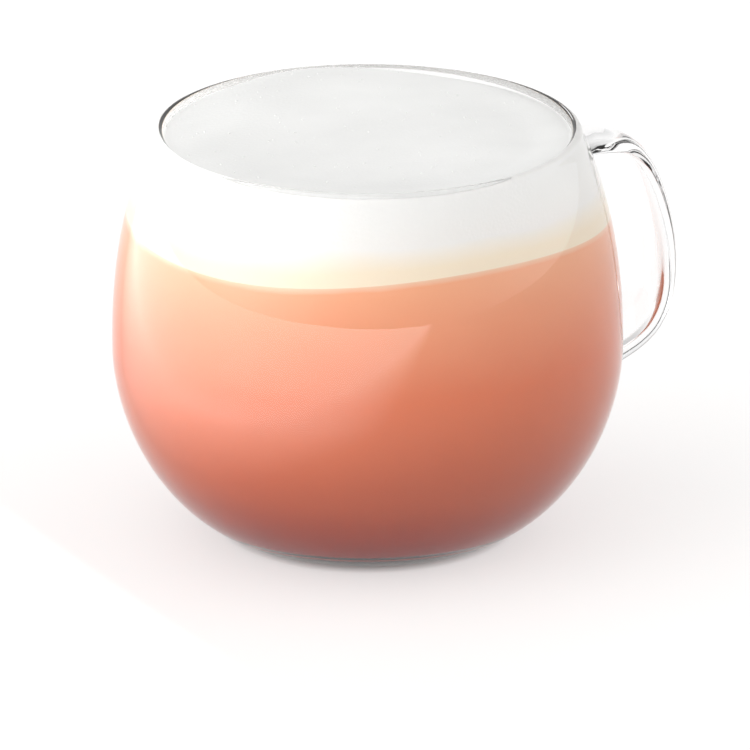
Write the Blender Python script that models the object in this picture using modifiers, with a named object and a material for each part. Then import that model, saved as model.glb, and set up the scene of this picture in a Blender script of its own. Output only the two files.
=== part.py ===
"""A caffe mocha in a clear glass globe mug: glass, drink, cream coloured layer and milk foam."""

import math

import bmesh
import bpy
from mathutils import Vector

# Driving dimensions in metres. The foot stands on z = 0 and the handle points along +X.
HEIGHT = 0.0771
FOOT_RADIUS = 0.0238
BELLY_RADIUS = 0.0476
BELLY_HEIGHT = 0.0349
RIM_RADIUS = 0.0393
WALL = 0.0022
BASE_THICKNESS = 0.0045
INNER_FLOOR_RADIUS = 0.0210

# Exponents of the bowl's curve: its rise and its reach below the belly, and the taper above it.
BOWL_RISE = 1.085
BOWL_REACH = 1.188
TAPER = 2.25

# The flat ribbon handle. Its middle runs through these (distance from the axis, height).
HANDLE_CENTRE_LINE = (
    (0.0416, 0.0683),
    (0.0470, 0.0686),
    (0.0518, 0.0675),
    (0.0553, 0.0630),
    (0.0578, 0.0560),
    (0.0592, 0.0480),
    (0.0589, 0.0400),
    (0.0566, 0.0338),
    (0.0525, 0.0298),
    (0.0452, 0.0262),
)
HANDLE_THICKNESS = 0.0038
HANDLE_WIDTH_TOP = 0.0100
HANDLE_WIDTH_BOTTOM = 0.0165
HANDLE_SQUARENESS = 3.2
# How fast the ribbon widens: 1 would reach the full width only at the lower root.
WIDTH_GROWTH = 1.4

# Levels of the layers at the glass, and how unevenly the foam has settled into the drink.
DRINK_LEVEL = 0.0605
CREMA_DEPTH = 0.0062
FOAM_EDGE = 0.0757
FOAM_DOME = 0.0050
WAVE_TWO = 0.0010
WAVE_THREE = 0.0005
CREMA_WAVE = 0.0007
SWIRL_HEIGHT = 0.00055
CREASE_DEPTH = 0.0008
GAP = 0.0003

# Directions round the mug, counted from +X towards +Y.
WAVE_TWO_PEAK = math.radians(-84)
WAVE_THREE_PEAK = math.radians(-79)
MOUND_DIRECTION = math.radians(102)
MOUND_OFFSET = 0.022
MOUND_NARROWNESS = 1.6
EDGE_FALL = 8
CREASE_DIRECTION = math.radians(-70)
CREASE_TURN = 0.9
CREASE_PLACE = 0.8
CREASE_WIDTH = 0.08
SWIRL_TURN = 7.0
CREMA_WAVE_TURN = 1.0

TURN_STEPS = 64
CONTENT_STEPS = 48
HANDLE_SIDES = 16
HANDLE_STEPS = 26
PROFILE_ROWS = 9
LIP_STEPS = 6

# Where the rings of a layer's face lie, as shares of its radius, closest where the foam bends most.
FACE_SHARES = (1.0, 0.85, 0.6, 0.3)
FOAM_TOP_SHARES = (1.0, 0.95, 0.89, 0.83, 0.77, 0.7, 0.6, 0.48, 0.36, 0.24, 0.12, 0.04)
CORNER_RISE = 0.0004


def clear_scene():
    for obj in list(bpy.data.objects):
        bpy.data.objects.remove(obj, do_unlink=True)


def make_collection(name):
    collection = bpy.data.collections.new(name)
    bpy.context.scene.collection.children.link(collection)
    return collection


def make_material(name, colour, roughness, transmission=0.0):
    material = bpy.data.materials.new(name)
    material.use_nodes = True
    shader = material.node_tree.nodes["Principled BSDF"]
    shader.inputs["Base Color"].default_value = (*colour, 1.0)
    shader.inputs["Roughness"].default_value = roughness
    shader.inputs["Metallic"].default_value = 0.0
    shader.inputs["Transmission Weight"].default_value = transmission
    return material


def bowl_point(angle, floor, floor_radius, belly_radius):
    """A point (radius, height) of the bowl below the belly, for an angle from 0 to a quarter turn."""
    rise = 1.0 - math.cos(angle) ** BOWL_RISE
    reach = math.sin(angle) ** BOWL_REACH
    radius = floor_radius + (belly_radius - floor_radius) * reach
    return radius, floor + (BELLY_HEIGHT - floor) * rise


def taper_radius(height, belly_radius):
    """The radius above the belly, where the side leans in to the rim."""
    share = (height - BELLY_HEIGHT) / (HEIGHT - BELLY_HEIGHT)
    return belly_radius - (BELLY_RADIUS - RIM_RADIUS) * share**TAPER


def inner_radius(height):
    """The radius of the inside of the glass at a height above its inner floor."""
    belly = BELLY_RADIUS - WALL
    if height >= BELLY_HEIGHT:
        return taper_radius(height, belly)
    rise = (height - BASE_THICKNESS) / (BELLY_HEIGHT - BASE_THICKNESS)
    cosine = (1.0 - min(1.0, max(0.0, rise))) ** (1.0 / BOWL_RISE)
    angle = math.acos(min(1.0, cosine))
    return bowl_point(angle, BASE_THICKNESS, INNER_FLOOR_RADIUS, belly)[0]


def mug_profile():
    """The glass wall's outline from the rim down the outside, then up the inside to the rim."""
    belly_inside = BELLY_RADIUS - WALL
    lip = WALL / 2
    lip_height = HEIGHT - lip
    lip_centre = taper_radius(lip_height, BELLY_RADIUS) - lip
    rows = PROFILE_ROWS
    points = []
    for step in range(rows + 1):
        height = lip_height + (BELLY_HEIGHT - lip_height) * step / rows
        points.append((taper_radius(height, BELLY_RADIUS), height))
    for step in range(rows - 1, -1, -1):
        angle = math.pi / 2 * step / rows
        points.append(bowl_point(angle, 0.0, FOOT_RADIUS, BELLY_RADIUS))
    points.append((0.0, 0.0))
    points.append((0.0, BASE_THICKNESS))
    for step in range(rows + 1):
        angle = math.pi / 2 * step / rows
        points.append(bowl_point(angle, BASE_THICKNESS, INNER_FLOOR_RADIUS, belly_inside))
    for step in range(1, rows + 1):
        height = BELLY_HEIGHT + (lip_height - BELLY_HEIGHT) * step / rows
        points.append((taper_radius(height, belly_inside), height))
    for step in range(1, LIP_STEPS):
        angle = math.pi * (1.0 - step / LIP_STEPS)
        points.append((lip_centre + lip * math.cos(angle), lip_height + lip * math.sin(angle)))
    return points


def turned_body(name, collection, material):
    points = mug_profile()
    mesh = bpy.data.meshes.new(name)
    verts = [(radius, 0.0, height) for radius, height in points]
    last = len(points) - 1
    edges = [(index, index + 1) for index in range(last)] + [(last, 0)]
    edges = [edge for edge in edges if points[edge[0]][0] + points[edge[1]][0] > 0.0]
    mesh.from_pydata(verts, edges, [])
    body = bpy.data.objects.new(name, mesh)
    collection.objects.link(body)
    mesh.materials.append(material)
    screw = body.modifiers.new("Turn", "SCREW")
    screw.steps = TURN_STEPS
    screw.render_steps = TURN_STEPS
    screw.use_merge_vertices = True
    screw.merge_threshold = 0.00001
    screw.use_smooth_shade = True
    return body


def loft(name, rings, collection, material):
    """A closed solid through rings of points, each end closed by a fan on its middle."""
    mesh = bpy.data.meshes.new(name)
    build = bmesh.new()
    rows = [[build.verts.new(point) for point in ring] for ring in rings]
    count = len(rows[0])
    for low, high in zip(rows, rows[1:]):
        for index in range(count):
            following = (index + 1) % count
            build.faces.new((low[index], low[following], high[following], high[index]))
    for row in (rows[0], rows[-1]):
        middle = sum((vert.co for vert in row), Vector()) / count
        centre = build.verts.new(middle)
        for index in range(count):
            build.faces.new((row[index], row[(index + 1) % count], centre))
    bmesh.ops.recalc_face_normals(build, faces=build.faces)
    build.to_mesh(mesh)
    build.free()
    mesh.materials.append(material)
    mesh.shade_smooth()
    solid = bpy.data.objects.new(name, mesh)
    collection.objects.link(solid)
    return solid


def spline_point(points, share):
    """A point of the smooth curve through the given points, for a share from 0 to 1."""
    spans = len(points) - 1
    place = min(share * spans, spans - 1e-9)
    index = int(place)
    part = place - index
    before = points[max(index - 1, 0)]
    start = points[index]
    end = points[index + 1]
    after = points[min(index + 2, spans)]
    result = []
    for p0, p1, p2, p3 in zip(before, start, end, after):
        linear = p2 - p0
        square = 2 * p0 - 5 * p1 + 4 * p2 - p3
        cube = 3 * p1 - p0 - 3 * p2 + p3
        result.append(p1 + 0.5 * part * (linear + part * (square + part * cube)))
    return result


def rounded(value):
    """A cosine or sine pushed out towards a rectangle's side."""
    return math.copysign(abs(value) ** (2 / HANDLE_SQUARENESS), value)


def handle_rings():
    """Sections of the ribbon: rounded rectangles that widen from the top root to the bottom."""
    rings = []
    for step in range(HANDLE_STEPS + 1):
        share = step / HANDLE_STEPS
        radius, height = spline_point(HANDLE_CENTRE_LINE, share)
        ahead = spline_point(HANDLE_CENTRE_LINE, min(share + 0.01, 1.0))
        behind = spline_point(HANDLE_CENTRE_LINE, max(share - 0.01, 0.0))
        along = Vector((ahead[0] - behind[0], 0.0, ahead[1] - behind[1])).normalized()
        outward = Vector((-along.z, 0.0, along.x))
        growth = min(1.0, share * WIDTH_GROWTH)
        width = HANDLE_WIDTH_TOP + (HANDLE_WIDTH_BOTTOM - HANDLE_WIDTH_TOP) * growth
        ring = []
        for side in range(HANDLE_SIDES):
            angle = 2 * math.pi * side / HANDLE_SIDES
            across = rounded(math.cos(angle))
            through = rounded(math.sin(angle))
            point = Vector((radius, 0.0, height))
            point += outward * through * HANDLE_THICKNESS / 2
            point += Vector((0.0, across * width / 2, 0.0))
            ring.append(point)
        rings.append(ring)
    return rings


def join_handle(body, handle):
    """Fuses the handle to the body, so that the mug is one piece of glass."""
    union = body.modifiers.new("Join handle", "BOOLEAN")
    union.operation = "UNION"
    union.solver = "EXACT"
    union.object = handle
    handle.hide_render = True
    handle.display_type = "WIRE"


def drink_level(angle):
    """Height of the drink at the glass: the foam sits deeper in it on some sides than on others."""
    wave = WAVE_TWO * math.cos(2 * (angle - WAVE_TWO_PEAK))
    wave += WAVE_THREE * math.cos(3 * (angle - WAVE_THREE_PEAK))
    return DRINK_LEVEL + wave


def crema_level(angle):
    return drink_level(angle) + CREMA_DEPTH + CREMA_WAVE * math.cos(3 * angle + CREMA_WAVE_TURN)


def foam_level(angle, share):
    """Height of the foam's top, from the middle (share 0) to the glass (share 1)."""
    reach = share * inner_radius(FOAM_EDGE)
    x = reach * math.cos(angle) - MOUND_OFFSET * math.cos(MOUND_DIRECTION)
    y = reach * math.sin(angle) - MOUND_OFFSET * math.sin(MOUND_DIRECTION)
    spread = inner_radius(FOAM_EDGE)
    inside = max(0.0, 1.0 - share**EDGE_FALL)
    mound = FOAM_DOME * math.exp(-((math.hypot(x, y) / spread) ** 2) * MOUND_NARROWNESS)
    swirl = SWIRL_HEIGHT * math.sin(2 * angle + SWIRL_TURN * share) * share
    crease_turn = math.exp(-((angle_between(angle, CREASE_DIRECTION) / CREASE_TURN) ** 2))
    crease = CREASE_DEPTH * crease_turn * math.exp(-(((share - CREASE_PLACE) / CREASE_WIDTH) ** 2))
    return FOAM_EDGE + (mound + swirl - crease) * inside


def angle_between(first, second):
    return abs((first - second + math.pi) % (2 * math.pi) - math.pi)


def ring_at(radius, level):
    """One ring of points; radius and level are functions of the angle round the mug."""
    ring = []
    for step in range(CONTENT_STEPS):
        angle = 2 * math.pi * step / CONTENT_STEPS
        reach = radius(angle)
        ring.append(Vector((reach * math.cos(angle), reach * math.sin(angle), level(angle))))
    return ring


def blend(first, second, share):
    return first + (second - first) * share


def mean_level(level):
    total = sum(level(2 * math.pi * step / CONTENT_STEPS) for step in range(CONTENT_STEPS))
    return total / CONTENT_STEPS


def surface_rings(level, shares):
    """Rings over an uneven layer's face: uneven at the glass, and even towards its middle."""
    mean = mean_level(level)
    rings = []
    for share in shares:
        radius = lambda angle, share=share: share * (inner_radius(level(angle)) - GAP)
        height = lambda angle, share=share: blend(mean, level(angle), share * share)
        rings.append(ring_at(radius, height))
    return rings


def wall_rings(low, high, count):
    """Rings up the inside of the glass, strictly between two levels."""
    rings = []
    for step in range(1, count):
        share = step / count
        height = lambda angle, share=share: blend(low(angle), high(angle), share)
        radius = lambda angle, height=height: inner_radius(height(angle)) - GAP
        rings.append(ring_at(radius, height))
    return rings


def make_mocha(collection, material):
    floor = BASE_THICKNESS + GAP
    corner = floor + CORNER_RISE
    rings = [ring_at(lambda angle: FACE_SHARES[-1] * INNER_FLOOR_RADIUS, lambda angle: floor)]
    rings.append(ring_at(lambda angle: INNER_FLOOR_RADIUS - GAP, lambda angle: floor))
    rings.append(ring_at(lambda angle: inner_radius(corner) - 2 * GAP, lambda angle: corner))
    rings += wall_rings(lambda angle: corner, drink_level, 11)
    rings += surface_rings(drink_level, FACE_SHARES)
    return loft("mocha", rings, collection, material)


def make_crema(collection, material):
    bottom = lambda angle: drink_level(angle) + GAP
    rings = surface_rings(bottom, FACE_SHARES[::-1])
    rings += wall_rings(bottom, crema_level, 4)
    rings += surface_rings(crema_level, FACE_SHARES)
    return loft("crema", rings, collection, material)


def make_foam(collection, material):
    bottom = lambda angle: crema_level(angle) + GAP
    top = lambda angle: foam_level(angle, 1.0)
    rings = surface_rings(bottom, FACE_SHARES[::-1])
    rings += wall_rings(bottom, top, 5)
    edge = inner_radius(FOAM_EDGE) - GAP
    for share in FOAM_TOP_SHARES:
        radius = lambda angle, share=share: share * edge
        height = lambda angle, share=share: foam_level(angle, share)
        rings.append(ring_at(radius, height))
    return loft("milk_foam", rings, collection, material)


def main():
    clear_scene()
    parts = make_collection("caffe_mocha")
    cutters = make_collection("joined_shapes")
    glass = make_material("clear_glass", (1.0, 1.0, 1.0), 0.02, 1.0)
    mocha = make_material("mocha_drink", (0.62, 0.25, 0.13), 0.35)
    cream = make_material("crema_layer", (0.86, 0.74, 0.56), 0.5)
    foam = make_material("milk_foam_white", (0.92, 0.91, 0.88), 0.6)
    body = turned_body("glass_mug", parts, glass)
    handle = loft("handle_ribbon", handle_rings(), cutters, glass)
    join_handle(body, handle)
    make_mocha(parts, mocha)
    make_crema(parts, cream)
    make_foam(parts, foam)


main()
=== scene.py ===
"""Caffe mocha in a clear glass globe mug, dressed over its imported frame."""

import math

import bmesh
import bpy
from bpy.props import FloatProperty, FloatVectorProperty, IntProperty, PointerProperty
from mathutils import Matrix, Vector


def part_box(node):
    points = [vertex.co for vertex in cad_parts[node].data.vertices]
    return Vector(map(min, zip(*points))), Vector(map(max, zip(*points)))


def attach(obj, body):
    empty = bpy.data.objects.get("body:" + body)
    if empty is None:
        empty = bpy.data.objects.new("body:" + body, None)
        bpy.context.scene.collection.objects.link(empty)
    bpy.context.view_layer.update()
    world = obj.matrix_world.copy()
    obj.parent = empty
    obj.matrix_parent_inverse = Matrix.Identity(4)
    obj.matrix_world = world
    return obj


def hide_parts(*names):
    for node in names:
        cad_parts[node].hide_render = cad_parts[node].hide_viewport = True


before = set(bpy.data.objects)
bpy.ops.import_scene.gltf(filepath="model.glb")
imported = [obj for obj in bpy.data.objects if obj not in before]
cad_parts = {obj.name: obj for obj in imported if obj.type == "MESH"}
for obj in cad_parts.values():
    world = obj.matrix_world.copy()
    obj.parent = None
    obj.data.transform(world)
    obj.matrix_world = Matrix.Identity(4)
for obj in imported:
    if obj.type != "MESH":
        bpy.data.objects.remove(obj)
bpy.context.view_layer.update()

bl_info = {
    "name": "Caffe Mocha",
    "version": (1, 0, 0),
    "blender": (4, 5, 0),
    "location": "View3D > Sidebar > Mocha",
    "description": "Builds a caffe mocha with milk foam in a clear glass globe mug",
    "category": "Object",
}

# The mug's outline in metres: the foot stands on z = 0 and the handle points along +X.
MUG_LOW, MUG_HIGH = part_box("glass_mug")
HEIGHT = MUG_HIGH[2]
BELLY_RADIUS = -MUG_LOW[0]
FOOT_RADIUS = 0.0238
BELLY_HEIGHT = 0.0349
RIM_RADIUS = 0.0393
INNER_FLOOR_RADIUS = 0.0210
BASE_THICKNESS = 0.0045
BOWL_RISE = 1.085
BOWL_REACH = 1.188
TAPER = 2.25

# The middle of the ribbon handle: distance from the axis, height.
HANDLE_CENTRE_LINE = (
    (0.0416, 0.0683),
    (0.0470, 0.0686),
    (0.0518, 0.0675),
    (0.0553, 0.0630),
    (0.0578, 0.0560),
    (0.0592, 0.0480),
    (0.0589, 0.0400),
    (0.0566, 0.0338),
    (0.0525, 0.0298),
    (0.0452, 0.0262),
)
HANDLE_SQUARENESS = 3.2
WIDTH_GROWTH = 1.4

# Levels at the glass and how unevenly the foam has settled into the drink.
DRINK_LEVEL = 0.0605
CREMA_DEPTH = 0.0062
FOAM_EDGE = 0.0757
FOAM_DOME = 0.0050
WAVE_TWO = 0.0010
WAVE_THREE = 0.0005
CREMA_WAVE = 0.0007
SWIRL_HEIGHT = 0.00055
CREASE_DEPTH = 0.0008
WAVE_TWO_PEAK = math.radians(-84)
WAVE_THREE_PEAK = math.radians(-79)
MOUND_DIRECTION = math.radians(102)
MOUND_OFFSET = 0.022
MOUND_NARROWNESS = 1.6
EDGE_FALL = 8
CREASE_DIRECTION = math.radians(-70)
CREASE_TURN = 0.9
CREASE_PLACE = 0.8
CREASE_WIDTH = 0.08
SWIRL_TURN = 7.0
CREMA_WAVE_TURN = 1.0
INTO_WALL = 0.00006

# The camera stands where the photo was taken from; the aim point's pixel gives the shift.
PHOTO_SIDE = 750
SENSOR = 36.0
CAMERA_AZIMUTH = math.radians(-24)
CAMERA_ELEVATION = math.radians(19.58)
CAMERA_DISTANCE = 1.3
PIXELS_PER_METRE = 5372
AIM = Vector((0.0, 0.0, 0.038))
AIM_PIXEL = (367.5, 327.1)

# The floor glows faintly everywhere but under the foot, where painted shade fades the glow out, and
# glows more far out to the camera's near left, a painted pool of light.
FLOOR_HALF_SIDE = 3.0
FLOOR_CELLS = 8
FLOOR_GLOW = 0.56
UNDER_FOOT_SHADE_REACH = 0.005
GLOW_TURN = CAMERA_AZIMUTH + math.radians(30)
NEAR_LEFT = (-math.cos(GLOW_TURN), -math.sin(GLOW_TURN), 0.0)
GLOW_STRENGTH = 2.8
GLOW_START = 0.056
GLOW_REACH = 0.08

# Soft light from all round: weaker overhead and from the camera, stronger at left and right.
STUDIO_STRENGTH = 1.0
OVERHEAD_LOSS = 0.55
KEY_DIRECTION = (-1.0, -0.05, 0.30)
KEY_NARROWNESS = 5.0
KEY_STRENGTH = 2.3
FILL_DIRECTION = (0.93, -0.30, 0.25)
FILL_NARROWNESS = 4.0
FILL_STRENGTH = 1.3
CAMERA_SIDE_NARROWNESS = 6.0
CAMERA_SIDE_LOSS = 0.25
LAMP_PLACE = (-0.35, 0.25, 1.1)
LAMP_WIDTH = 0.9
LAMP_WATTS = 1.2

# How finely each shape is cut.
TURN_STEPS = 160
PROFILE_ROWS = 30
LIP_STEPS = 10
MERGE_DISTANCE = 0.000005
HANDLE_STEPS = 90
HANDLE_SIDES = 36
SPLINE_STEP = 0.01
CONTENT_STEPS = 144
DRINK_ROWS = 48
LAYER_ROWS = 14
FOAM_TOP_RINGS = 48
FLOOR_SHARES = (0.3, 0.7, 1.0)
FACE_SHARES = (0.3, 0.6, 0.9, 1.0)
SHARP_ANGLE = math.radians(50)
BUBBLE_DETAIL = 2

# Where the foam's top counts as open, and is painted in greyer shade: above its deepest crease and
# just clear of the glass.
OPEN_TOP_HEIGHT = FOAM_EDGE - 2 * CREASE_DEPTH
OPEN_TOP_SHARE = 0.999
BUBBLE_CLEARANCE = 0.0001

GLASS_REFRACTION = 1.47
SEAM_SHARPNESS = 900.0
# Painted shade on the foam: its open top is greyer than its sides, and soft patches greyer still.
TOP_SHADE_WHITE = 0.91
HOLLOW_SHADE_WHITE = 0.80


class Value:
    """A number socket that turns arithmetic into Math nodes."""

    def __init__(self, maker, socket):
        self.maker = maker
        self.socket = socket

    def math(self, operation, *others):
        node = self.maker.add("ShaderNodeMath", {"operation": operation}, (self, *others))
        return Value(self.maker, node.outputs[0])

    def __add__(self, other):
        return self.math("ADD", other)

    def __radd__(self, other):
        return self.math("ADD", other)

    def __sub__(self, other):
        return self.math("SUBTRACT", other)

    def __rsub__(self, other):
        return (self * -1.0).math("ADD", other)

    def __mul__(self, other):
        return self.math("MULTIPLY", other)

    def __rmul__(self, other):
        return self.math("MULTIPLY", other)

    def clamped(self):
        return self.math("MAXIMUM", 0.0).math("MINIMUM", 1.0)


class Finish:
    """A material, or the world, with one method that adds any node."""

    def __init__(self, tree):
        self.tree = tree

    def add(self, kind, settings=None, inputs=()):
        node = self.tree.nodes.new(kind)
        for name, setting in (settings or {}).items():
            setattr(node, name, setting)
        pairs = inputs.items() if isinstance(inputs, dict) else enumerate(inputs)
        for key, value in pairs:
            self.put(node.inputs[key], value)
        return node

    def put(self, socket, value):
        if isinstance(value, Value):
            value = value.socket
        if isinstance(value, bpy.types.NodeSocket):
            self.tree.links.new(value, socket)
        else:
            socket.default_value = value

    def noise(self, scale, detail=3.0, stretch=(1.0, 1.0, 1.0)):
        place = self.add("ShaderNodeTexCoord").outputs["Object"]
        mapped = self.add("ShaderNodeMapping", None, {"Vector": place, "Scale": stretch})
        inputs = {"Vector": mapped.outputs[0], "Scale": scale, "Detail": detail}
        return Value(self, self.add("ShaderNodeTexNoise", None, inputs).outputs["Fac"])

    def attribute(self, name):
        node = self.add("ShaderNodeAttribute", {"attribute_name": name})
        return Value(self, node.outputs["Fac"])

    def ramp(self, value, stops):
        node = self.add("ShaderNodeValToRGB", None, (value,))
        elements = node.color_ramp.elements
        while len(elements) < len(stops):
            elements.new(0.5)
        for element, (place, colour) in zip(elements, stops):
            element.position = place
            element.color = (*colour, 1.0)
        return node.outputs[0]

    def mix(self, share, first, second):
        node = self.add("ShaderNodeMix", {"data_type": "RGBA"})
        for key, value in ((0, share), (6, first), (7, second)):
            value = (*value, 1.0) if isinstance(value, tuple) else value
            self.put(node.inputs[key], value)
        return node.outputs[2]

    def bump(self, height, strength, distance):
        inputs = {"Height": height, "Strength": strength, "Distance": distance}
        return self.add("ShaderNodeBump", None, inputs).outputs[0]


def new_finish(name):
    material = bpy.data.materials.new(name)
    material.use_nodes = True
    finish = Finish(material.node_tree)
    return material, finish, material.node_tree.nodes["Principled BSDF"]


def blend(first, second, share):
    """A colour part of the way from the first to the second."""
    return tuple((1.0 - share) * a + share * b for a, b in zip(first, second))


def glass_finish():
    """Clear drinking glass with the faintest waviness and a few soft smears."""
    material, finish, shader = new_finish("clear_glass")
    finish.put(shader.inputs["Base Color"], (1.0, 1.0, 1.0, 1.0))
    finish.put(shader.inputs["Transmission Weight"], 1.0)
    finish.put(shader.inputs["IOR"], GLASS_REFRACTION)
    finish.put(shader.inputs["Roughness"], (finish.noise(60.0) - 0.55) * 0.04 + 0.006)
    waviness = finish.noise(28.0, 2.0, (1.0, 1.0, 0.4))
    finish.put(shader.inputs["Normal"], finish.bump(waviness, 0.05, 0.0006))
    return material


def mocha_finish(settings):
    """Milky drink, darker towards the foot, partly from chocolate that settles there and partly in
    painted shade; milk clouds it under the foam.
    """
    material, finish, shader = new_finish("mocha_drink")
    height = finish.attribute("height_share")
    clouds = finish.noise(45.0, 4.0, (1.0, 1.0, 2.0)) - 0.5
    top = tuple(settings.drink_top)
    body = tuple(settings.drink_body)
    foot = tuple(settings.drink_foot)
    low = blend(body, foot, 0.5)
    # Lighter at the top and darker at the foot: partly settled chocolate, partly painted shade.
    stops = ((0.02, foot), (0.25, low), (0.62, body), (0.98, top))
    colour = finish.ramp(height + clouds * 0.08, stops)
    seam = (finish.attribute("below_top") * SEAM_SHARPNESS + clouds * 1.2).clamped()
    creamy = blend(top, settings.cream, 0.55)
    finish.put(shader.inputs["Base Color"], finish.mix(seam, creamy, colour))
    finish.put(shader.inputs["Roughness"], finish.noise(90.0) * 0.2 + 0.35)
    finish.put(shader.inputs["Normal"], finish.bump(finish.noise(300.0), 0.04, 0.0002))
    return material


def crema_finish(settings):
    """Fine froth stained by the drink below it, which fades up into the white foam."""
    material, finish, shader = new_finish("crema_layer")
    depth = finish.attribute("height_share")
    clouds = finish.noise(55.0, 4.0, (1.0, 1.0, 1.6)) - 0.5
    stained = tuple(settings.cream)
    white = tuple(settings.foam)
    stops = ((0.0, stained), (0.35, stained), (0.7, blend(stained, white, 0.5)), (1.0, white))
    finish.put(shader.inputs["Base Color"], finish.ramp(depth + clouds * 0.35, stops))
    finish.put(shader.inputs["Roughness"], finish.noise(120.0) * 0.2 + 0.5)
    finish.put(shader.inputs["Normal"], finish.bump(finish.noise(900.0), 0.12, 0.0002))
    return material


def foam_finish(settings):
    """Silky milk foam: white on its sides, its open top greyer in painted shade, with soft patches
    of painted shade, and bubbles too fine to model.
    """
    material, finish, shader = new_finish("white_foam")
    soft = finish.noise(26.0, 3.0, (1.0, 1.6, 1.0)) * 2.2 - 0.6
    white = tuple(settings.foam)
    # Painted shade: the open top greyer than the sides, with greyer patches.
    shaded_top = tuple(value * TOP_SHADE_WHITE for value in white)
    hollow_shade = tuple(value * HOLLOW_SHADE_WHITE for value in white)
    top = finish.mix(soft.clamped(), shaded_top, hollow_shade)
    on_top = finish.attribute("on_top")
    finish.put(shader.inputs["Base Color"], finish.mix(on_top, white, top))
    finish.put(shader.inputs["Roughness"], finish.noise(200.0) * 0.25 + 0.45)
    cells = finish.add("ShaderNodeTexVoronoi", None, {"Scale": 1500.0})
    place = finish.add("ShaderNodeTexCoord").outputs["Object"]
    finish.put(cells.inputs["Vector"], place)
    relief = Value(finish, cells.outputs["Distance"]) + finish.noise(160.0) * 1.5
    finish.put(shader.inputs["Normal"], finish.bump(relief, 0.12, 0.0002))
    return material


def floor_finish():
    """A plain pale table with a very faint mottle that glows: painted shade under the foot, and a
    painted pool of light far out to the camera's near left.
    """
    material, finish, shader = new_finish("pale_floor")
    mottle = finish.noise(12.0, 4.0)
    colour = finish.mix(mottle, (0.45, 0.445, 0.44), (0.48, 0.475, 0.47))
    finish.put(shader.inputs["Base Color"], colour)
    finish.put(shader.inputs["Roughness"], mottle * 0.1 + 0.6)
    place = finish.add("ShaderNodeTexCoord").outputs["Object"]
    # Painted pool of light: the glow grows far out to the camera's near left.
    aside = finish.add("ShaderNodeVectorMath", {"operation": "DOT_PRODUCT"}, (place, NEAR_LEFT))
    out = ((Value(finish, aside.outputs["Value"]) - GLOW_START) * (1.0 / GLOW_REACH)).clamped()
    away = finish.add("ShaderNodeVectorMath", {"operation": "LENGTH"}, (place,))
    # Painted shade: the glow fades out under and round the foot.
    clear = (Value(finish, away.outputs["Value"]) - FOOT_RADIUS) * (1.0 / UNDER_FOOT_SHADE_REACH)
    glow = (out * GLOW_STRENGTH + FLOOR_GLOW) * clear.clamped()
    colour = finish.add("ShaderNodeVectorMath", {"operation": "SCALE"}, ((1.0, 1.0, 1.0),))
    finish.put(colour.inputs["Scale"], glow)
    finish.put(shader.inputs["Emission Color"], colour.outputs[0])
    finish.put(shader.inputs["Emission Strength"], 1.0)
    return material


def between(first, second, share):
    return first + (second - first) * share


def bowl_point(angle, floor, floor_radius, belly_radius):
    """A point (radius, height) of the bowl below the belly, for an angle up to a quarter turn."""
    rise = 1.0 - max(0.0, math.cos(angle)) ** BOWL_RISE
    reach = math.sin(angle) ** BOWL_REACH
    radius = floor_radius + (belly_radius - floor_radius) * reach
    return radius, floor + (BELLY_HEIGHT - floor) * rise


def taper_radius(height, belly_radius):
    share = (height - BELLY_HEIGHT) / (HEIGHT - BELLY_HEIGHT)
    return belly_radius - (BELLY_RADIUS - RIM_RADIUS) * share**TAPER


def inner_radius(height, wall):
    """The radius of the inside of the glass at a height above its inner floor."""
    belly = BELLY_RADIUS - wall
    if height >= BELLY_HEIGHT:
        return taper_radius(height, belly)
    rise = (height - BASE_THICKNESS) / (BELLY_HEIGHT - BASE_THICKNESS)
    cosine = (1.0 - min(1.0, max(0.0, rise))) ** (1.0 / BOWL_RISE)
    return bowl_point(math.acos(cosine), BASE_THICKNESS, INNER_FLOOR_RADIUS, belly)[0]


def mug_profile(wall):
    """The glass wall's outline from the rim down the outside, then up the inside to the rim."""
    lip = wall / 2
    lip_height = HEIGHT - lip
    lip_centre = taper_radius(lip_height, BELLY_RADIUS) - lip
    inside = BELLY_RADIUS - wall
    points = []
    for step in range(PROFILE_ROWS + 1):
        height = between(lip_height, BELLY_HEIGHT, step / PROFILE_ROWS)
        points.append((taper_radius(height, BELLY_RADIUS), height))
    for step in range(PROFILE_ROWS - 1, -1, -1):
        angle = math.pi / 2 * step / PROFILE_ROWS
        points.append(bowl_point(angle, 0.0, FOOT_RADIUS, BELLY_RADIUS))
    points.append((0.0, 0.0))
    points.append((0.0, BASE_THICKNESS))
    for step in range(PROFILE_ROWS + 1):
        angle = math.pi / 2 * step / PROFILE_ROWS
        points.append(bowl_point(angle, BASE_THICKNESS, INNER_FLOOR_RADIUS, inside))
    for step in range(1, PROFILE_ROWS + 1):
        height = between(BELLY_HEIGHT, lip_height, step / PROFILE_ROWS)
        points.append((taper_radius(height, inside), height))
    for step in range(1, LIP_STEPS):
        angle = math.pi * (1.0 - step / LIP_STEPS)
        points.append((lip_centre + lip * math.cos(angle), lip_height + lip * math.sin(angle)))
    return points


def link(name, mesh, material):
    piece = bpy.data.objects.new(name, mesh)
    bpy.context.scene.collection.objects.link(piece)
    mesh.materials.append(material)
    return piece


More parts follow.
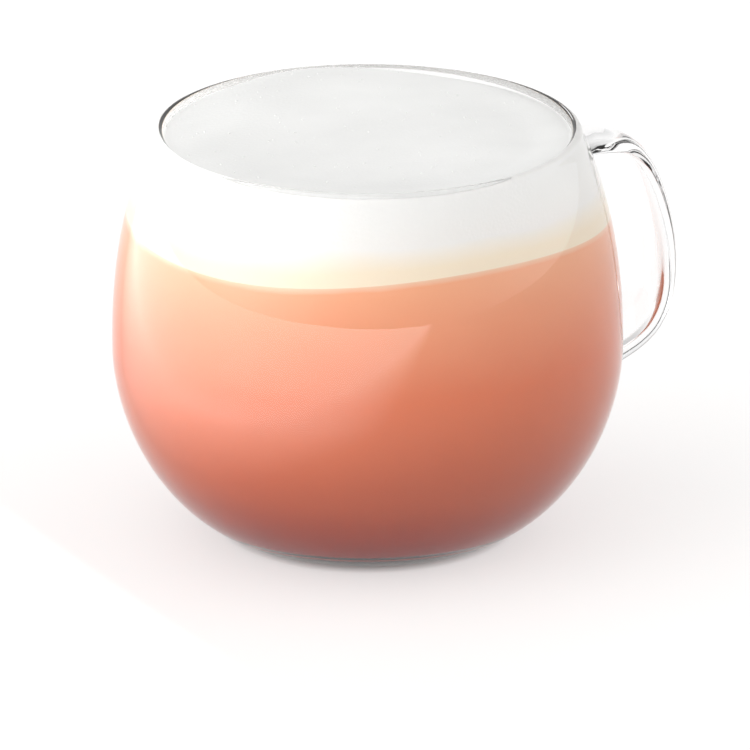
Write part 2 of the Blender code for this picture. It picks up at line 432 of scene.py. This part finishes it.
def turned_body(wall, material):
    """The mug's body: its outline spun once round the axis."""
    points = mug_profile(wall)
    build = bmesh.new()
    verts = [build.verts.new((radius, 0.0, height)) for radius, height in points]
    edges = []
    for index, vert in enumerate(verts):
        following = verts[(index + 1) % len(verts)]
        if vert.co.x + following.co.x > 0.0:
            edges.append(build.edges.new((vert, following)))
    bmesh.ops.spin(
        build,
        geom=verts + edges,
        axis=(0.0, 0.0, 1.0),
        cent=(0.0, 0.0, 0.0),
        steps=TURN_STEPS,
        angle=2 * math.pi,
    )
    bmesh.ops.remove_doubles(build, verts=build.verts, dist=MERGE_DISTANCE)
    bmesh.ops.recalc_face_normals(build, faces=build.faces)
    mesh = bpy.data.meshes.new("clear_mug")
    build.to_mesh(mesh)
    build.free()
    return link("clear_mug", mesh, material)


def loft(name, rings, material, marks=None):
    """A closed solid through rings of points, each end closed by a fan on its middle."""
    build = bmesh.new()
    rows = [[build.verts.new(point) for point in ring] for ring in rings]
    count = len(rows[0])
    for low, high in zip(rows, rows[1:]):
        for index in range(count):
            following = (index + 1) % count
            build.faces.new((low[index], low[following], high[following], high[index]))
    for row in (rows[0], rows[-1]):
        centre = build.verts.new(sum((vert.co for vert in row), Vector()) / count)
        for index in range(count):
            build.faces.new((row[index], row[(index + 1) % count], centre))
    bmesh.ops.recalc_face_normals(build, faces=build.faces)
    mesh = bpy.data.meshes.new(name)
    build.to_mesh(mesh)
    build.free()
    for attribute, measure in (marks or {}).items():
        layer = mesh.attributes.new(attribute, "FLOAT", "POINT")
        for vert in mesh.vertices:
            layer.data[vert.index].value = measure(vert.co)
    mesh.shade_smooth()
    mesh.set_sharp_from_angle(angle=SHARP_ANGLE)
    return link(name, mesh, material)


def spline_point(points, share):
    """A point of the smooth curve through the given points, for a share from 0 to 1."""
    spans = len(points) - 1
    place = min(share * spans, spans - 1e-9)
    index = int(place)
    part = place - index
    before = points[max(index - 1, 0)]
    after = points[min(index + 2, spans)]
    result = []
    for p0, p1, p2, p3 in zip(before, points[index], points[index + 1], after):
        square = 2 * p0 - 5 * p1 + 4 * p2 - p3
        cube = 3 * p1 - p0 - 3 * p2 + p3
        result.append(p1 + 0.5 * part * (p2 - p0 + part * (square + part * cube)))
    return result


def rounded(value, squareness):
    return math.copysign(abs(value) ** (2 / squareness), value)


def handle_rings(settings):
    """Sections of the ribbon: rounded rectangles that widen from the top root to the bottom."""
    rings = []
    for step in range(HANDLE_STEPS + 1):
        share = step / HANDLE_STEPS
        radius, height = spline_point(HANDLE_CENTRE_LINE, share)
        ahead = spline_point(HANDLE_CENTRE_LINE, min(share + SPLINE_STEP, 1.0))
        behind = spline_point(HANDLE_CENTRE_LINE, max(share - SPLINE_STEP, 0.0))
        along = Vector((ahead[0] - behind[0], 0.0, ahead[1] - behind[1])).normalized()
        outward = Vector((-along.z, 0.0, along.x))
        growth = min(1.0, share * WIDTH_GROWTH)
        width = between(settings.handle_top, settings.handle_bottom, growth)
        ring = []
        for side in range(HANDLE_SIDES):
            angle = 2 * math.pi * side / HANDLE_SIDES
            across = rounded(math.cos(angle), HANDLE_SQUARENESS) * width / 2
            through = rounded(math.sin(angle), HANDLE_SQUARENESS) * settings.handle_thick / 2
            ring.append(Vector((radius, across, height)) + outward * through)
        rings.append(ring)
    return rings


def drink_level(angle):
    wave = WAVE_TWO * math.cos(2 * (angle - WAVE_TWO_PEAK))
    wave += WAVE_THREE * math.cos(3 * (angle - WAVE_THREE_PEAK))
    return DRINK_LEVEL + wave


def crema_level(angle):
    return drink_level(angle) + CREMA_DEPTH + CREMA_WAVE * math.cos(3 * angle + CREMA_WAVE_TURN)


def angle_between(first, second):
    return abs((first - second + math.pi) % (2 * math.pi) - math.pi)


def foam_level(angle, share, spread):
    """Height of the foam's top, from the middle (share 0) to the glass (share 1)."""
    x = share * spread * math.cos(angle) - MOUND_OFFSET * math.cos(MOUND_DIRECTION)
    y = share * spread * math.sin(angle) - MOUND_OFFSET * math.sin(MOUND_DIRECTION)
    inside = max(0.0, 1.0 - share**EDGE_FALL)
    mound = FOAM_DOME * math.exp(-((math.hypot(x, y) / spread) ** 2) * MOUND_NARROWNESS)
    swirl = SWIRL_HEIGHT * math.sin(2 * angle + SWIRL_TURN * share) * share
    crease_turn = math.exp(-((angle_between(angle, CREASE_DIRECTION) / CREASE_TURN) ** 2))
    crease = CREASE_DEPTH * crease_turn * math.exp(-(((share - CREASE_PLACE) / CREASE_WIDTH) ** 2))
    return FOAM_EDGE + (mound + swirl - crease) * inside


def ring_at(radius, level):
    ring = []
    for step in range(CONTENT_STEPS):
        angle = 2 * math.pi * step / CONTENT_STEPS
        reach = radius(angle)
        ring.append(Vector((reach * math.cos(angle), reach * math.sin(angle), level(angle))))
    return ring


def surface_rings(level, shares, wall):
    """Rings over an uneven layer's face: uneven at the glass, and even towards its middle."""
    angles = [2 * math.pi * step / CONTENT_STEPS for step in range(CONTENT_STEPS)]
    mean = sum(level(angle) for angle in angles) / CONTENT_STEPS
    rings = []
    for share in shares:
        rings.append(
            ring_at(
                lambda angle: share * (inner_radius(level(angle), wall) + INTO_WALL),
                lambda angle: between(mean, level(angle), share * share),
            )
        )
    return rings


def wall_rings(low, high, count, wall):
    """Rings up the inside of the glass, strictly between two levels."""
    rings = []
    for step in range(1, count):

        def level(angle):
            return between(low(angle), high(angle), step / count)

        rings.append(ring_at(lambda angle: inner_radius(level(angle), wall) + INTO_WALL, level))
    return rings


def make_mocha(settings):
    wall = settings.wall
    floor = BASE_THICKNESS - INTO_WALL
    rings = []
    for share in FLOOR_SHARES:
        rings.append(ring_at(lambda angle: share * INNER_FLOOR_RADIUS, lambda angle: floor))
    rings += wall_rings(lambda angle: floor, drink_level, DRINK_ROWS, wall)
    rings += surface_rings(drink_level, reversed(FACE_SHARES), wall)
    marks = {
        "height_share": lambda co: (co.z - BASE_THICKNESS) / (DRINK_LEVEL - BASE_THICKNESS),
        "below_top": lambda co: drink_level(math.atan2(co.y, co.x)) - co.z,
    }
    return loft("mocha_drink", rings, mocha_finish(settings), marks)


def make_crema(settings):
    wall = settings.wall
    rings = surface_rings(drink_level, FACE_SHARES, wall)
    rings += wall_rings(drink_level, crema_level, LAYER_ROWS, wall)
    rings += surface_rings(crema_level, reversed(FACE_SHARES), wall)

    def share(co):
        angle = math.atan2(co.y, co.x)
        return (co.z - drink_level(angle)) / (crema_level(angle) - drink_level(angle))

    return loft("crema_layer", rings, crema_finish(settings), {"height_share": share})


def make_foam(settings):
    wall = settings.wall
    edge = inner_radius(FOAM_EDGE, wall) + INTO_WALL
    rings = surface_rings(crema_level, FACE_SHARES, wall)
    rings += wall_rings(crema_level, lambda angle: FOAM_EDGE, LAYER_ROWS, wall)
    for step in range(FOAM_TOP_RINGS, 0, -1):
        share = step / FOAM_TOP_RINGS
        rings.append(
            ring_at(lambda angle: share * edge, lambda angle: foam_level(angle, share, edge))
        )

    # Marks the open top, which the foam's finish paints in greyer shade.
    def on_top(co):
        return float(co.z > OPEN_TOP_HEIGHT and co.xy.length < OPEN_TOP_SHARE * edge)

    return loft("milk_foam_top", rings, foam_finish(settings), {"on_top": on_top})


def bubble_tree(material, settings):
    """Geometry nodes that scatter small bubbles evenly over the foam's raised top."""
    tree = bpy.data.node_groups.new("foam_bubbles", "GeometryNodeTree")
    face = tree.interface
    face.new_socket("Foam", in_out="INPUT", socket_type="NodeSocketGeometry")
    face.new_socket("Density", in_out="INPUT", socket_type="NodeSocketFloat")
    face.new_socket("Smallest", in_out="INPUT", socket_type="NodeSocketFloat")
    face.new_socket("Largest", in_out="INPUT", socket_type="NodeSocketFloat")
    face.new_socket("Seed", in_out="INPUT", socket_type="NodeSocketInt")
    face.new_socket("Bubbles", in_out="OUTPUT", socket_type="NodeSocketGeometry")
    finish = Finish(tree)
    given = finish.add("NodeGroupInput").outputs
    place = finish.add("GeometryNodeInputPosition").outputs[0]
    height = finish.add("ShaderNodeSeparateXYZ", None, (place,)).outputs["Z"]
    on_top = Value(finish, height).math("GREATER_THAN", FOAM_EDGE + BUBBLE_CLEARANCE)
    spots = finish.add(
        "GeometryNodeDistributePointsOnFaces",
        {"distribute_method": "RANDOM"},
        {"Mesh": given["Foam"], "Selection": on_top, "Density": given["Density"]},
    )
    finish.put(spots.inputs["Seed"], given["Seed"])
    ball_size = {"Radius": 1.0, "Subdivisions": BUBBLE_DETAIL}
    ball = finish.add("GeometryNodeMeshIcoSphere", None, ball_size)
    size = finish.add("FunctionNodeRandomValue", {"data_type": "FLOAT"})
    finish.put(size.inputs[2], given["Smallest"])
    finish.put(size.inputs[3], given["Largest"])
    finish.put(size.inputs["Seed"], given["Seed"])
    copies = finish.add(
        "GeometryNodeInstanceOnPoints",
        None,
        {
            "Points": spots.outputs["Points"],
            "Instance": ball.outputs["Mesh"],
            "Scale": size.outputs[1],
        },
    )
    solid = finish.add("GeometryNodeRealizeInstances", None, (copies.outputs[0],)).outputs[0]
    painted = finish.add(
        "GeometryNodeSetMaterial", None, {"Geometry": solid, "Material": material}
    )
    finish.add("NodeGroupOutput", None, (painted.outputs[0],))
    values = {
        "Density": settings.bubble_density,
        "Smallest": settings.bubble_smallest,
        "Largest": settings.bubble_largest,
        "Seed": settings.bubble_seed,
    }
    return tree, values


def make_bubbles(settings, foam):
    """Bakes the scattered bubbles into one plain mesh."""
    material = foam.data.materials[0]
    tree, values = bubble_tree(material, settings)
    holder = bpy.data.objects.new("bubble_holder", foam.data.copy())
    bpy.context.scene.collection.objects.link(holder)
    modifier = holder.modifiers.new("Bubbles", "NODES")
    modifier.node_group = tree
    for item in tree.interface.items_tree:
        if item.in_out == "INPUT" and item.name in values:
            modifier[item.identifier] = values[item.name]
    bpy.context.view_layer.update()
    evaluated = holder.evaluated_get(bpy.context.evaluated_depsgraph_get())
    mesh = bpy.data.meshes.new_from_object(evaluated)
    holder.modifiers.clear()
    bpy.data.objects.remove(holder)
    mesh.shade_smooth()
    mesh.materials.clear()
    return link("foam_bubbles", mesh, material)


class MochaSettings(bpy.types.PropertyGroup):
    """Sizes and colours of the mug and what it holds."""

    wall: FloatProperty(
        name="Wall", description="Thickness of the glass", default=0.0022, unit="LENGTH"
    )
    handle_thick: FloatProperty(
        name="Handle thickness", description="Ribbon handle, through", default=0.0038, unit="LENGTH"
    )
    handle_top: FloatProperty(
        name="Handle width at top", description="At its upper root", default=0.0100, unit="LENGTH"
    )
    handle_bottom: FloatProperty(
        name="Handle width below", description="At its lower root", default=0.0165, unit="LENGTH"
    )
    drink_top: FloatVectorProperty(
        name="Drink, top",
        description="Under the foam",
        subtype="COLOR",
        default=(0.95, 0.44, 0.24),
    )
    drink_body: FloatVectorProperty(
        name="Drink, middle",
        description="At the belly",
        subtype="COLOR",
        default=(0.80, 0.205, 0.075),
    )
    # The foot's dark colour is partly settled chocolate, partly painted shade.
    drink_foot: FloatVectorProperty(
        name="Drink, foot",
        description="Where chocolate settles",
        subtype="COLOR",
        default=(0.30, 0.008, 0.004),
    )
    cream: FloatVectorProperty(
        name="Cream layer",
        description="Stained froth",
        subtype="COLOR",
        default=(0.985, 0.89, 0.70),
    )
    foam: FloatVectorProperty(
        name="Foam", description="White milk foam", subtype="COLOR", default=(0.97, 0.97, 0.955)
    )
    bubble_density: FloatProperty(
        name="Bubbles per square metre", description="On the foam's top", default=60000.0
    )
    bubble_smallest: FloatProperty(
        name="Smallest bubble", description="Radius", default=0.00006, unit="LENGTH"
    )
    bubble_largest: FloatProperty(
        name="Largest bubble", description="Radius", default=0.00022, unit="LENGTH"
    )
    bubble_seed: IntProperty(name="Bubble seed", description="Places the bubbles", default=7)


class MOCHA_OT_glass(bpy.types.Operator):
    """Turn the glass body and fuse the ribbon handle to it"""

    bl_idname = "mocha.glass"
    bl_label = "Glass mug"

    def execute(self, context):
        settings = context.scene.mocha_settings
        material = glass_finish()
        body = turned_body(settings.wall, material)
        handle = loft("ribbon", handle_rings(settings), material)
        union = body.modifiers.new("Join handle", "BOOLEAN")
        union.operation = "UNION"
        union.solver = "EXACT"
        union.object = handle
        context.view_layer.update()
        evaluated = body.evaluated_get(context.evaluated_depsgraph_get())
        joined = bpy.data.meshes.new_from_object(evaluated)
        body.modifiers.clear()
        body.data = joined
        joined.shade_smooth()
        bpy.data.objects.remove(handle)
        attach(body, "root")
        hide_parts("glass_mug")
        return {"FINISHED"}


class MOCHA_OT_contents(bpy.types.Operator):
    """Fill the glass with the drink, the cream layer and the foam"""

    bl_idname = "mocha.contents"
    bl_label = "Drink and foam"

    def execute(self, context):
        settings = context.scene.mocha_settings
        drink = make_mocha(settings)
        crema = make_crema(settings)
        foam = make_foam(settings)
        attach(drink, "root")
        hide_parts("mocha")
        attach(crema, "root")
        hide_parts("crema")
        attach(foam, "root")
        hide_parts("milk_foam")
        return {"FINISHED"}


class MOCHA_OT_bubbles(bpy.types.Operator):
    """Scatter fine bubbles over the top of the foam"""

    bl_idname = "mocha.bubbles"
    bl_label = "Foam bubbles"

    def execute(self, context):
        settings = context.scene.mocha_settings
        bubbles = make_bubbles(settings, bpy.data.objects["milk_foam_top"])
        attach(bubbles, "root")
        return {"FINISHED"}


class MOCHA_OT_stage(bpy.types.Operator):
    """Set the pale floor, the soft light and the camera"""

    bl_idname = "mocha.stage"
    bl_label = "Stage"

    def execute(self, context):
        build = bmesh.new()
        cells = {"x_segments": FLOOR_CELLS, "y_segments": FLOOR_CELLS}
        bmesh.ops.create_grid(build, size=FLOOR_HALF_SIDE, **cells)
        mesh = bpy.data.meshes.new("pale_floor")
        build.to_mesh(mesh)
        build.free()
        link("pale_floor", mesh, floor_finish())
        make_world(context.scene)
        make_lamp()
        make_camera(context.scene)
        return {"FINISHED"}


def make_world(scene):
    """White studio light, broadly brighter to the left and right and darker towards the camera."""
    world = bpy.data.worlds.new("studio")
    scene.world = world
    world.use_nodes = True
    finish = Finish(world.node_tree)
    background = world.node_tree.nodes["Background"]
    aim = finish.add("ShaderNodeTexCoord").outputs["Generated"]
    finish.put(background.inputs["Color"], (1.0, 1.0, 1.0, 1.0))
    up = Value(finish, finish.add("ShaderNodeSeparateXYZ", None, (aim,)).outputs["Z"]).clamped()
    even = (1.0 - up * OVERHEAD_LOSS) * STUDIO_STRENGTH
    key = lobe_towards(finish, aim, Vector(KEY_DIRECTION), KEY_NARROWNESS) * KEY_STRENGTH
    fill = lobe_towards(finish, aim, Vector(FILL_DIRECTION), FILL_NARROWNESS) * FILL_STRENGTH
    dark = lobe_towards(finish, aim, camera_side(), CAMERA_SIDE_NARROWNESS) * CAMERA_SIDE_LOSS
    strength = (key + fill + even) * (1.0 - dark)
    finish.put(background.inputs["Strength"], strength)
    scene.view_settings.view_transform = "Standard"


def lobe_towards(finish, aim, direction, narrowness):
    """1 in one direction of the world, falling softly to 0 at right angles to it."""
    toward = tuple(direction.normalized())
    side = finish.add("ShaderNodeVectorMath", {"operation": "DOT_PRODUCT"}, (aim, toward))
    return Value(finish, side.outputs["Value"]).clamped().math("POWER", narrowness)


def camera_side():
    """The unit vector from the mug to the photo's viewpoint."""
    flat = math.cos(CAMERA_ELEVATION)
    across = math.sin(CAMERA_AZIMUTH) * flat
    back = -math.cos(CAMERA_AZIMUTH) * flat
    return Vector((across, back, math.sin(CAMERA_ELEVATION)))


def make_lamp():
    """A large soft lamp above, so that the floor stays white and the shadow faint."""
    data = bpy.data.lights.new("overhead", "AREA")
    data.shape = "DISK"
    data.size = LAMP_WIDTH
    data.energy = LAMP_WATTS
    lamp = bpy.data.objects.new("overhead", data)
    bpy.context.scene.collection.objects.link(lamp)
    lamp.location = LAMP_PLACE
    lamp.rotation_euler = (-lamp.location).to_track_quat("-Z", "Y").to_euler()


def make_camera(scene):
    data = bpy.data.cameras.new("photo_view")
    data.sensor_width = SENSOR
    data.lens = PIXELS_PER_METRE * CAMERA_DISTANCE * SENSOR / PHOTO_SIDE
    data.shift_x = (PHOTO_SIDE / 2 - AIM_PIXEL[0]) / PHOTO_SIDE
    data.shift_y = (AIM_PIXEL[1] - PHOTO_SIDE / 2) / PHOTO_SIDE
    data.clip_end = 50.0
    camera = bpy.data.objects.new("photo_view", data)
    scene.collection.objects.link(camera)
    away = camera_side()
    camera.location = AIM + away * CAMERA_DISTANCE
    camera.rotation_euler = (-away).to_track_quat("-Z", "Y").to_euler()
    scene.camera = camera


class MOCHA_PT_panel(bpy.types.Panel):
    """The sidebar's list of what can be made"""

    bl_idname = "MOCHA_PT_panel"
    bl_label = "Caffe mocha"
    bl_space_type = "VIEW_3D"
    bl_region_type = "UI"
    bl_category = "Mocha"

    def draw(self, context):
        settings = context.scene.mocha_settings
        for name in MochaSettings.__annotations__:
            self.layout.prop(settings, name)
        for operator in (MOCHA_OT_glass, MOCHA_OT_contents, MOCHA_OT_bubbles, MOCHA_OT_stage):
            self.layout.operator(operator.bl_idname)


CLASSES = (
    MochaSettings,
    MOCHA_OT_glass,
    MOCHA_OT_contents,
    MOCHA_OT_bubbles,
    MOCHA_OT_stage,
    MOCHA_PT_panel,
)


def register():
    for item in CLASSES:
        bpy.utils.register_class(item)
    bpy.types.Scene.mocha_settings = PointerProperty(type=MochaSettings)


def unregister():
    del bpy.types.Scene.mocha_settings
    for item in reversed(CLASSES):
        bpy.utils.unregister_class(item)


def main():
    register()
    bpy.ops.mocha.stage()
    bpy.ops.mocha.glass()
    bpy.ops.mocha.contents()
    bpy.ops.mocha.bubbles()


if __name__ == "__main__":
    main()
